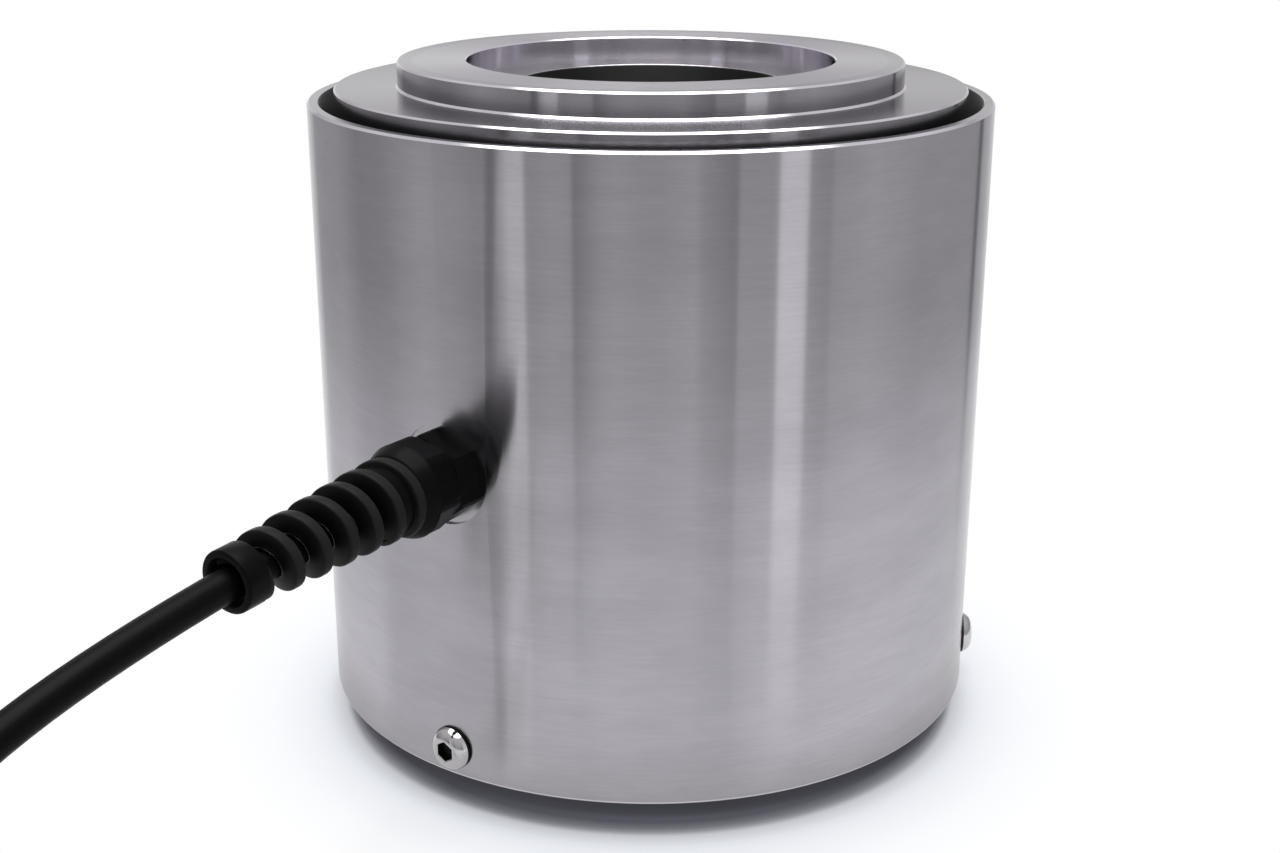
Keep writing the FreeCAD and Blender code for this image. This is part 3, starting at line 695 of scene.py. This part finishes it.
gauge = {
    "film": (0.45, 0.2, 0.04),
    "foil": (0.6, 0.5, 0.42),
    "grid": (420.0, 0.4),  # scale and bend of the grid's lines
    "edge": (0.45, 0.55),
    "foilMetal": 0.9,
    "roughness": (0.35, 0.25),
    "bump": (0.00001, 0.6),
}
board = {
    "shades": ((0.008, 0.06, 0.025, 1), (0.015, 0.11, 0.045, 1)),
    "weave": 160.0,
    "roughness": (0.28, 0.4),
    "bump": (0.00002, 0.5),
}
strands = {
    "lay": (900.0, 0.6),
    "gapShade": 0.55,
    "gapRoughness": 0.15,  # more than on top of the strands
    "bump": (0.00005, 0.8),
}


def gaugeFilm(name, spec):
    # an amber film with a fine metal grid on it
    material, tree, shader, place = newFinish(name)
    scale, bend = spec["grid"]
    grid = wave(tree, place, scale, "Z", bend)
    lined = span(tree, grid, 0.0, 1.0, *spec["edge"])
    setInputs(shader, {
        "Base Color": mixColour(tree, lined, (*spec["film"], 1), (*spec["foil"], 1)),
        "Metallic": span(tree, lined, 0.0, spec["foilMetal"]),
        "Roughness": span(tree, lined, *spec["roughness"]),
        "Normal": bump(tree, grid, *spec["bump"]),
    })
    return material


def wovenBoard(name, spec):
    # solder mask over woven glass
    material, tree, shader, place = newFinish(name)
    ways = [wave(tree, place, spec["weave"], way) for way in ("X", "Y")]
    weave = calc(tree, "MULTIPLY", *ways)
    setInputs(shader, {
        "Base Color": mixColour(tree, weave, *spec["shades"]),
        "Roughness": span(tree, weave, *spec["roughness"]),
        "Normal": bump(tree, weave, *spec["bump"]),
    })
    return material


def twistedStrands(name, colour, roughness):
    # tinned strands laid in a slant round the wire
    material, tree, shader, place = newFinish(name)
    scale, bend = strands["lay"]
    twist = wave(tree, place, scale, "DIAGONAL", bend)
    setInputs(shader, {
        "Base Color": mixColour(tree, twist, *shades(colour, strands["gapShade"], 1)),
        "Metallic": 1,
        "Roughness": span(tree, twist, roughness + strands["gapRoughness"], roughness),
        "Normal": bump(tree, twist, *strands["bump"]),
    })
    return material


# Every CAD piece gets its finish

wireColours = {
    "red": (0.42, 0.02, 0.02),
    "white": (0.72, 0.71, 0.68),
    "green": (0.02, 0.2, 0.05),
    "black": (0.01, 0.01, 0.011),
}
gaugeCount = 8


def dress(material, *names):
    for name in names:
        data = nodes[name].data
        data.materials.clear()
        data.materials.append(material)


polished = screwSteel("polishedScrewSteel", (0.62, 0.605, 0.62), roughness=0.09)
nylon = mouldedPlastic(
    "blackGlandNylon", (0.0026, 0.0026, 0.0028), roughness=0.34, gloss=0.06,
    # painted highlight on the strip's crests
    crestHighlight=(0.016, 0.016, 0.0162),
)
dress(turnedSteel("turnedBodySteel", bodyTurning), "sensing_body")
dress(turnedSteel("turnedShellSteel", shellTurning), "outer_shell")
dress(nylon, "gland_body", "gland_locknut")
dress(
    mouldedPlastic(
        "sealRubber", (0.012, 0.012, 0.013), roughness=0.62, gloss=0.3, grainSize=1500.0,
        grainDepth=0.00002,
    ),
    "lower_shell_seal", "upper_shell_seal", "gland_face_seal", "gland_insert",
)
dress(gaugeFilm("gaugeFilm", gauge), *[f"strain_gauge_{k + 1}" for k in range(gaugeCount)])
dress(
    smallMetal(
        "solderTin", (0.62, 0.62, 0.61), roughness=0.28, grainSize=500.0, grainDepth=0.00002,
    ),
    "gauge_terminals",
)
dress(smallMetal("harnessEnamel", (0.55, 0.17, 0.06), roughness=0.3), "bridge_harness")
dress(wovenBoard("boardLaminate", board), "terminal_board")
dress(smallMetal("spacerBrass", (0.72, 0.53, 0.24), roughness=0.25), "board_spacers")
dress(smallMetal("smallScrewSteel", (0.55, 0.54, 0.55), roughness=0.25), "board_screws")
dress(mouldedPlastic("resistorCeramic", (0.035, 0.035, 0.045), roughness=0.4), "trim_resistors")
for wire, paint in wireColours.items():
    dress(mouldedPlastic(f"{wire}Wire", paint, roughness=0.38), f"core_{wire}", f"lead_{wire}")
dress(
    twistedStrands("shieldStrands", (0.6, 0.59, 0.57), roughness=0.3),
    "core_shield", "lead_shield",
)
dress(twistedStrands("tinnedTips", (0.66, 0.65, 0.63), roughness=0.22), "lead_tips")
dress(
    mouldedPlastic(
        "shrinkSleeve", (0.006, 0.006, 0.007), roughness=0.4, gloss=0.3, grainSize=420.0,
        grainDepth=0.00006,
    ),
    "cable_end_sleeve",
)
jacket.data.materials.append(mouldedPlastic(
    "cableSkin", (0.0018, 0.0018, 0.002), roughness=0.38, gloss=0.08, grainSize=1800.0,
))
print("finishes on")


# Geometry Nodes helpers

def startTree(name, sizes):
    # the tree has a geometry input, one named input for each size, and the finish
    tree = bpy.data.node_groups.new(name, "GeometryNodeTree")
    for way in ("INPUT", "OUTPUT"):
        tree.interface.new_socket("Geometry", in_out=way, socket_type="NodeSocketGeometry")
    for key, value in sizes.items():
        kind = "NodeSocketInt" if isinstance(value, int) else "NodeSocketFloat"
        tree.interface.new_socket(key, in_out="INPUT", socket_type=kind)
    tree.interface.new_socket("finish", in_out="INPUT", socket_type="NodeSocketMaterial")
    return tree, addNode(tree, "NodeGroupInput").outputs


def store(tree, geometry, name, value):
    inputs = {"Geometry": geometry, "Name": name, "Value": value}
    kind = "GeometryNodeStoreNamedAttribute"
    return addNode(tree, kind, inputs, data_type="FLOAT").outputs[0]


def endTree(tree, given, geometry):
    whole = addNode(tree, "GeometryNodeRealizeInstances", {"Geometry": geometry}).outputs[0]
    finished = {"Geometry": whole, "Material": given["finish"]}
    finished = addNode(tree, "GeometryNodeSetMaterial", finished).outputs[0]
    addNode(tree, "NodeGroupOutput", {0: finished})
    return tree


def growPiece(name, mesh, tree, sizes, finish, sharpFrom=30.0):
    # runs the tree on the mesh and keeps the result as a plain mesh
    piece = addObject(name, mesh)
    modifier = piece.modifiers.new(tree.name, "NODES")
    modifier.node_group = tree
    values = {**sizes, "finish": finish}
    for socket in tree.interface.items_tree:
        if socket.in_out == "INPUT" and socket.name != "Geometry":
            modifier[socket.identifier] = values[socket.name]
    grown = meshOf(piece)
    piece.modifiers.remove(modifier)
    grown.shade_smooth()
    grown.set_sharp_from_angle(angle=math.radians(sharpFrom))
    piece.data = grown
    return piece


def hexRadius(flats, degrees):
    # from a hexagon's centre to its side, with a corner at 0 degrees
    return flats / 2 / math.cos(math.radians(degrees % 60 - 30))


def addRings(mesh, section, steps, turn=0.0, closed=False):
    # rings from rows of (radius, height, flats)
    # flats over 0 trims the ring to a hexagon, below 0 cuts one into it
    rings = []
    for radius, height, flats in section:
        ring = []
        for k in range(steps):
            degrees = 360 * k / steps
            reach = radius
            if flats > 0:
                reach = min(radius, hexRadius(flats, degrees))
            elif flats < 0:
                reach = max(radius, hexRadius(-flats, degrees))
            angle = math.radians(degrees + turn)
            place = (reach * math.cos(angle), reach * math.sin(angle), height)
            ring.append(mesh.verts.new(place))
        rings.append(ring)
    pairs = list(zip(rings, rings[1:]))
    if closed:
        pairs.append((rings[-1], rings[0]))
    for lower, upper in pairs:
        for k in range(steps):
            after = (k + 1) % steps
            mesh.faces.new((lower[k], lower[after], upper[after], upper[k]))


def finishRings(name, mesh, mergeWithin=0.0000005):
    bmesh.ops.remove_doubles(mesh, verts=mesh.verts, dist=mergeWithin)
    bmesh.ops.recalc_face_normals(mesh, faces=mesh.faces)
    made = bpy.data.meshes.new(name)
    mesh.to_mesh(made)
    mesh.free()
    return made


# Screws: one head and shank, repeated round the shell

screws = {
    "layout": {
        "count": 3,
        "circle": 0.075,
        "height": 0.0094,
        "socketRadius": 0.0023,  # the socket's walls and floor are within it
        "socketFloor": 0.0005,
        "socketTop": 0.00253,
        "sideRadius": 0.0046,  # the head's upright side is beyond it
        "sideTop": 0.00064,
    },
    "steps": 72,
    "shank": [
        (0, -0.012, 0), (0.0021, -0.012, 0), (0.0025, -0.0116, 0), (0.0025, 0, 0),
        (0.00465, 0, 0), (0.00475, 0.0001, 0), (0.00475, 0.00062, 0), (0.00473, 0.00067, 0),
    ],
    "domeCentre": (0.001922, -0.000102),
    "domeRadius": 0.002892,
    "domeAngles": (17, 24, 32, 40, 48, 56, 64, 71, 77, 80.5),
    "socket": [
        (0.0001, 0.00275, -0.0042), (0.0001, 0.00256, -0.0038), (0.0001, 0.0025, -0.0038),
        (0.0001, 0.00105, -0.0038), (0, 0.00085, 0),
    ],
}


def screwSection(spec):
    out, up = spec["domeCentre"]
    reach = spec["domeRadius"]
    angles = [math.radians(degrees) for degrees in spec["domeAngles"]]
    dome = [(out + reach * math.cos(a), reach * math.sin(a) + up, 0) for a in angles]
    return spec["shank"] + dome + spec["socket"]


def screwTree(sizes):
    tree, given = startTree("screwsRoundShell", sizes)
    place = addNode(tree, "GeometryNodeInputPosition").outputs[0]
    radius = fromAxis(tree, place)[1]
    height = split(tree, place)["Z"]

    # the socket and the head's upright side are marked for the finish's painted shade
    below = calc(tree, "LESS_THAN", height, given["socketTop"])
    above = calc(tree, "GREATER_THAN", height, given["socketFloor"])
    within = calc(tree, "LESS_THAN", radius, given["socketRadius"])
    socket = calc(tree, "MULTIPLY", within, calc(tree, "MULTIPLY", below, above))
    beyond = calc(tree, "GREATER_THAN", radius, given["sideRadius"])
    side = calc(tree, "MULTIPLY", beyond, calc(tree, "LESS_THAN", height, given["sideTop"]))
    marked = store(tree, given["Geometry"], "paintedScrewShade", calc(tree, "MAXIMUM", socket, side))

    circle = {"Vertices": given["count"], "Radius": given["circle"]}
    circle = addNode(tree, "GeometryNodeMeshCircle", circle).outputs[0]
    index = addNode(tree, "GeometryNodeInputIndex").outputs[0]
    angle = calc(tree, "DIVIDE", calc(tree, "MULTIPLY", index, 2 * math.pi), given["count"])
    turned = join(tree, y=math.pi / 2, z=angle)
    turned = addNode(tree, "FunctionNodeEulerToRotation", {0: turned}).outputs[0]
    placed = {"Points": circle, "Instance": marked, "Rotation": turned}
    placed = addNode(tree, "GeometryNodeInstanceOnPoints", placed).outputs[0]
    raised = {"Geometry": placed, "Translation": join(tree, z=given["height"])}
    raised = addNode(tree, "GeometryNodeTransform", raised).outputs[0]
    return endTree(tree, given, raised)


def makeScrews(spec):
    mesh = bmesh.new()
    addRings(mesh, screwSection(spec), spec["steps"])
    single = finishRings("buttonScrew", mesh)
    layout = spec["layout"]
    piece = growPiece("shellScrews", single, screwTree(layout), layout, polished)
    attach(piece, "root")
    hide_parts("shell_screws")


makeScrews(screws)
print("screws set round the shell")


# Gland cap: turned hexagon and collar, and the strip wound between them

glandCap = {
    "relief": {
        "seat": 0.074261,  # the spot face, as a distance from the cell's axis
        "height": 0.0706,
        "firstTurn": 0.01824,  # distance of the strip's turn 0 from the spot face
        "spacing": 0.0057,
        "spacingGrowth": 0.00014,
        "crestRadius": 0.0083,
        "taper": 0.0554,
        "diveTurn": 4.9,  # from this turn on the crest sinks faster
        "dive": 0.0006,
        "phase": 208.7,
        "startTurn": -0.5,
        "endTurn": 6.0,
        "innerRadius": 0.0034,
        "depth": 0.0041,
        "baseWidth": 0.0047,
        "crestWidth": 0.0022,
        "crestRound": 0.00055,
        "roundSteps": 4,
        "crestHighlightFrom": 0.86,  # depth share where the crest's painted highlight starts
        "crestHighlightTo": 0.97,
        "sagFrom": 0.0153,  # distance from the spot face where the cap starts to sink
        "sagRun": 0.010,
        "sagSlope": 0.05934,
        "segments": 313,
    },
    "hexTurn": 19.2,
    "hexSteps": 144,
    "hexSection": [  # radius, distance from the spot face, flats
        (0.00755, 0.0063, 0), (0.0092, 0.0063, 0.0174), (0.0093, 0.0064, 0.0174),
        (0.0094, 0.0065, 0.0174), (0.0095, 0.0066, 0.0174), (0.00965, 0.00675, 0.0174),
        (0.00965, 0.0125, 0.0174), (0.00955, 0.0125, 0), (0.00965, 0.0126, 0),
        (0.00955, 0.0129, 0), (0.0084, 0.01565, 0), (0.0082, 0.0159, 0), (0.0072, 0.0164, 0),
        (0.0072, 0.0226, 0), (0.0054, 0.0226, 0), (0.0054, 0.0155, 0), (0.0064, 0.0148, 0),
        (0.00755, 0.0124, 0),
    ],
    "collarSteps": 96,
    "collarSection": [
        (0.00385, 0.0547, 0), (0.00586, 0.0547, 0), (0.006, 0.05475, 0), (0.00606, 0.0549, 0),
        (0.00606, 0.0592, 0), (0.00602, 0.05942, 0), (0.00588, 0.0596, 0), (0.00566, 0.0597, 0),
        (0.00475, 0.0597, 0), (0.00455, 0.0594, 0), (0.00385, 0.0572, 0),
    ],
    "sharpFrom": 32.0,
}


def straightStrip(tree, given):
    profile = addNode(tree, "GeometryNodeCurvePrimitiveQuadrilateral", {
        "Height": given["depth"], "Bottom Width": given["baseWidth"],
        "Top Width": given["crestWidth"], "Offset": 0.0,
    }, mode="TRAPEZOID").outputs[0]
    rounded = addNode(tree, "GeometryNodeFilletCurve", {
        "Curve": profile, "Radius": given["crestRound"], "Count": given["roundSteps"],
        "Limit Radius": True,
    }, mode="POLY").outputs[0]
    line = addNode(tree, "GeometryNodeCurvePrimitiveLine", {"End": (0, 0, 1)}).outputs[0]
    line = {"Curve": line, "Count": given["segments"]}
    line = addNode(tree, "GeometryNodeResampleCurve", line).outputs[0]
    strip = {"Curve": line, "Profile Curve": rounded, "Fill Caps": True}
    return addNode(tree, "GeometryNodeCurveToMesh", strip).outputs[0]


def windStrip(tree, given, strip):
    # x runs along the cap, y outwards, z from the first turn to the last
    parts = split(tree, addNode(tree, "GeometryNodeInputPosition").outputs[0])
    turn = span(tree, parts["Z"], given["startTurn"], given["endTurn"])
    grown = calc(tree, "MULTIPLY_ADD", turn, given["spacingGrowth"], given["spacing"])
    climb = calc(tree, "MULTIPLY", turn, grown)
    dived = calc(tree, "MAXIMUM", calc(tree, "SUBTRACT", turn, given["diveTurn"]), 0.0)
    tapered = calc(tree, "MULTIPLY", climb, given["taper"])
    crest = calc(tree, "SUBTRACT", given["crestRadius"], tapered)
    crest = calc(tree, "SUBTRACT", crest, calc(tree, "MULTIPLY", dived, given["dive"]))
    share = calc(tree, "ADD", calc(tree, "DIVIDE", parts["Y"], given["depth"]), 0.5)
    reach = calc(tree, "SUBTRACT", crest, given["innerRadius"])
    radius = calc(tree, "MULTIPLY_ADD", reach, share, given["innerRadius"])
    angle = calc(tree, "RADIANS", calc(tree, "MULTIPLY_ADD", turn, 360.0, given["phase"]))
    wound = join(
        tree,
        calc(tree, "MULTIPLY", radius, calc(tree, "COSINE", angle)),
        calc(tree, "MULTIPLY", radius, calc(tree, "SINE", angle)),
        calc(tree, "ADD", calc(tree, "ADD", climb, given["firstTurn"]), parts["X"]),
    )
    # where the painted highlight lies on the strip's crest
    onCrest = span(tree, share, 0.0, 1.0, given["crestHighlightFrom"], given["crestHighlightTo"])
    strip = {"Geometry": store(tree, strip, "onCrest", onCrest), "Position": wound}
    return addNode(tree, "GeometryNodeSetPosition", strip).outputs[0]


def sinkWithCable(tree, given, geometry):
    parts = split(tree, addNode(tree, "GeometryNodeInputPosition").outputs[0])
    beyond = calc(tree, "MAXIMUM", calc(tree, "SUBTRACT", parts["Z"], given["sagFrom"]), 0.0)
    run = calc(tree, "MINIMUM", beyond, given["sagRun"])
    doubled = calc(tree, "MULTIPLY", given["sagRun"], 2.0)
    curved = calc(tree, "DIVIDE", calc(tree, "MULTIPLY", run, run), doubled)
    sunk = calc(tree, "ADD", curved, calc(tree, "SUBTRACT", beyond, run))
    slope = calc(tree, "DIVIDE", run, given["sagRun"])
    slope = calc(tree, "MULTIPLY", slope, given["sagSlope"])
    shift = join(
        tree,
        x=calc(tree, "MULTIPLY", sunk, given["sagSlope"]),
        z=calc(tree, "MULTIPLY", calc(tree, "MULTIPLY", parts["X"], slope), -1.0),
    )
    sunken = {"Geometry": geometry, "Offset": shift}
    return addNode(tree, "GeometryNodeSetPosition", sunken).outputs[0]


def reliefTree(sizes):
    tree, given = startTree("woundRelief", sizes)
    strip = windStrip(tree, given, straightStrip(tree, given))
    joined = addNode(tree, "GeometryNodeJoinGeometry")
    for item in (given["Geometry"], strip):
        setInputs(joined, {0: item})
    laid = addNode(tree, "GeometryNodeTransform", {
        "Geometry": sinkWithCable(tree, given, joined.outputs[0]),
        "Translation": join(tree, x=given["seat"], z=given["height"]),
        "Rotation": (0, math.pi / 2, 0),
    }).outputs[0]
    return endTree(tree, given, laid)


def makeCap(spec):
    mesh = bmesh.new()
    addRings(mesh, spec["hexSection"], spec["hexSteps"], spec["hexTurn"], closed=True)
    addRings(mesh, spec["collarSection"], spec["collarSteps"], closed=True)
    turned = finishRings("capAndCollar", mesh)
    relief = spec["relief"]
    piece = growPiece("glandCap", turned, reliefTree(relief), relief, nylon, spec["sharpFrom"])
    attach(piece, "root")
    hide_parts("gland_cap")


makeCap(glandCap)
print("gland cap wound")
